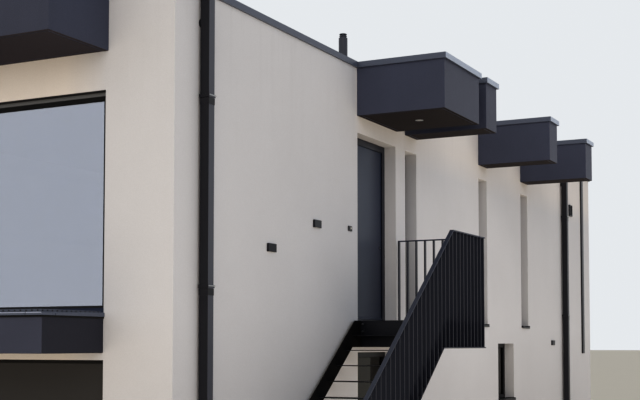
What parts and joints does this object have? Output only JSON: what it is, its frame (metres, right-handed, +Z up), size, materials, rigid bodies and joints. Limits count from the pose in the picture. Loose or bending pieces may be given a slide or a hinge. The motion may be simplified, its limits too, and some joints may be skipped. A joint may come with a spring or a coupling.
{
  "type": "end-of-terrace house",
  "caption": "Two-storey flat-roofed end-of-terrace house with box canopies, slot windows and an outside steel stair to its hinged entrance door.",
  "frame": {"origin": "middle of the house's base, on the underside of its walls and ground slab", "axes": "+X along the side wall from the street towards the garden, +Y from the side wall with the entrance towards the party wall, +Z up"},
  "size_m": [17.44, 7.232, 6.778],
  "materials": {
    "white_render": "matte",
    "dark_render": "matte",
    "concrete": "matte",
    "coping_metal": "satin",
    "dark_metal": "satin",
    "door_metal": "satin",
    "window_glass": "gloss",
    "lock_steel": "satin",
    "seal_rubber": "matte",
    "roof_sheet": "matte",
    "lamp_opal": "gloss"
  },
  "bodies": {
    "house": {"ground_slab": "concrete", "upper_floor": "concrete", "roof_slab": "concrete", "party_wall": "concrete", "side_wall_front": "white_render", "side_wall_under_door": "white_render", "side_wall_over_door": "white_render", "side_wall_rear": "white_render", "street_piers": "white_render", "street_bands": "white_render", "rear_piers": "white_render", "rear_bands": "white_render", "parapet_coping": "coping_metal", "canopy_copings": "coping_metal", "door_canopy": "dark_render", "slot_canopy_1": "dark_render", "slot_canopy_2": "dark_render", "slot_canopy_3": "dark_render", "street_canopy": "dark_render", "rear_canopy": "dark_render", "street_ledge": "dark_render", "rear_ledge": "dark_render", "ledge_caps": "coping_metal", "door_frame": "dark_metal", "wide_window_frames": "dark_metal", "slot_window_frames": "dark_metal", "low_window_frames": "dark_metal", "upper_glass": "window_glass", "lower_glass": "window_glass", "garage_door": "dark_metal", "window_sills": "dark_metal", "stair_stringers": "dark_metal", "stair_treads": "dark_metal", "landing_frame": "dark_metal", "landing_deck": "dark_metal", "flight_balustrade": "dark_metal", "landing_balustrade": "dark_metal", "handrail": "dark_metal", "front_downpipe": "dark_metal", "rear_downpipe": "dark_metal", "roof_outlets": "dark_metal", "wall_lamps": "dark_metal", "door_bell": "dark_metal", "wall_vent": "dark_metal", "wall_duct": "dark_metal", "canopy_downlight": "lock_steel", "flue": "dark_metal"},
    "entrance_door": {"door_leaf": "door_metal", "door_lock": "dark_metal"}
  },
  "joints": [
    {"name": "entrance_hinge", "type": "hinge", "parent": "house", "child": "entrance_door", "pos_m": [-3.678, -2.747, 3.8], "axis": [0, 0, 1], "range_deg": [0, 90]}
  ]
}
